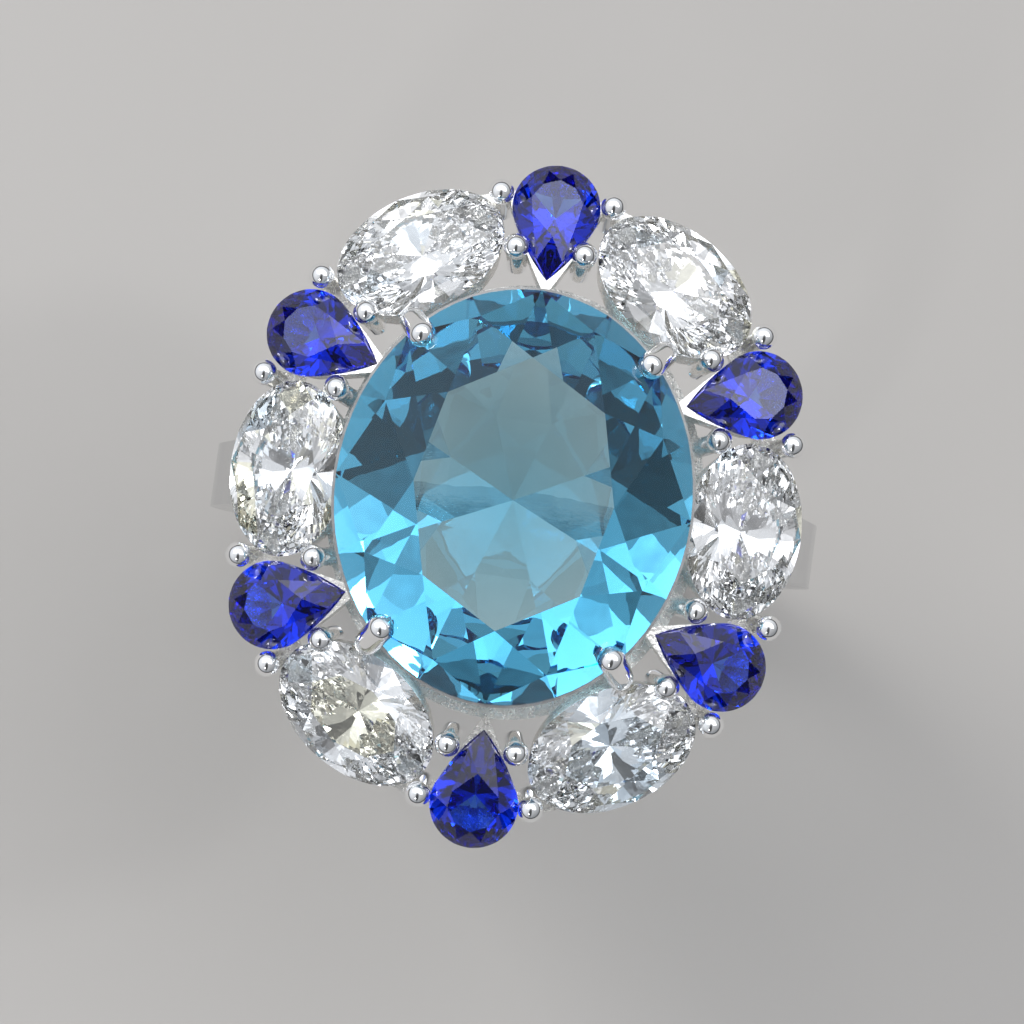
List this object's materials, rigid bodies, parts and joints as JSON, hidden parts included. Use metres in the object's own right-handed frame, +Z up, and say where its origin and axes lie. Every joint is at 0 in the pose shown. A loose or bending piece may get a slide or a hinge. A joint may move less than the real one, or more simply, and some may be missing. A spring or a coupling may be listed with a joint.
{
  "type": "cocktail ring",
  "caption": "Cluster ring with a large faceted oval stone in claws, inside a halo of ovals and pears in beaded collets, on a plain cathedral band.",
  "frame": {"origin": "centre of the finger bore", "axes": "+Z up through the head, +Y along the finger, +X across the finger"},
  "size_m": [0.022, 0.0234, 0.0287],
  "materials": {
    "polished_silver": "polished rhodium-plated silver",
    "aqua_stone": "polished facets",
    "blue_stone": "polished facets",
    "clear_stone": "polished facets"
  },
  "bodies": {
    "root": {"base_rail": "polished_silver", "centre_seat_rail": "polished_silver", "centre_stone": "aqua_stone", "claw_north_east": "polished_silver", "claw_north_west": "polished_silver", "claw_south_east": "polished_silver", "claw_south_west": "polished_silver", "collet_oval_east": "polished_silver", "collet_oval_north_east": "polished_silver", "collet_oval_north_west": "polished_silver", "collet_oval_south_east": "polished_silver", "collet_oval_south_west": "polished_silver", "collet_oval_west": "polished_silver", "collet_pear_north": "polished_silver", "collet_pear_north_east": "polished_silver", "collet_pear_north_west": "polished_silver", "collet_pear_south": "polished_silver", "collet_pear_south_east": "polished_silver", "collet_pear_south_west": "polished_silver", "halo_inner_rail": "polished_silver", "halo_outer_rail": "polished_silver", "prong_diagonal_inner_north_east": "polished_silver", "prong_diagonal_inner_north_west": "polished_silver", "prong_diagonal_inner_south_east": "polished_silver", "prong_diagonal_inner_south_west": "polished_silver", "prong_diagonal_outer_north_east": "polished_silver", "prong_diagonal_outer_north_west": "polished_silver", "prong_diagonal_outer_south_east": "polished_silver", "prong_diagonal_outer_south_west": "polished_silver", "prong_end_inner_north_east": "polished_silver", "prong_end_inner_north_west": "polished_silver", "prong_end_inner_south_east": "polished_silver", "prong_end_inner_south_west": "polished_silver", "prong_end_outer_north_east": "polished_silver", "prong_end_outer_north_west": "polished_silver", "prong_end_outer_south_east": "polished_silver", "prong_end_outer_south_west": "polished_silver", "prong_side_inner_north_east": "polished_silver", "prong_side_inner_north_west": "polished_silver", "prong_side_inner_south_east": "polished_silver", "prong_side_inner_south_west": "polished_silver", "prong_side_outer_north_east": "polished_silver", "prong_side_outer_north_west": "polished_silver", "prong_side_outer_south_east": "polished_silver", "prong_side_outer_south_west": "polished_silver", "shank": "polished_silver", "stone_oval_east": "clear_stone", "stone_oval_north_east": "clear_stone", "stone_oval_north_west": "clear_stone", "stone_oval_south_east": "clear_stone", "stone_oval_south_west": "clear_stone", "stone_oval_west": "clear_stone", "stone_pear_north": "blue_stone", "stone_pear_north_east": "blue_stone", "stone_pear_north_west": "blue_stone", "stone_pear_south": "blue_stone", "stone_pear_south_east": "blue_stone", "stone_pear_south_west": "blue_stone"}
  },
  "joints": []
}
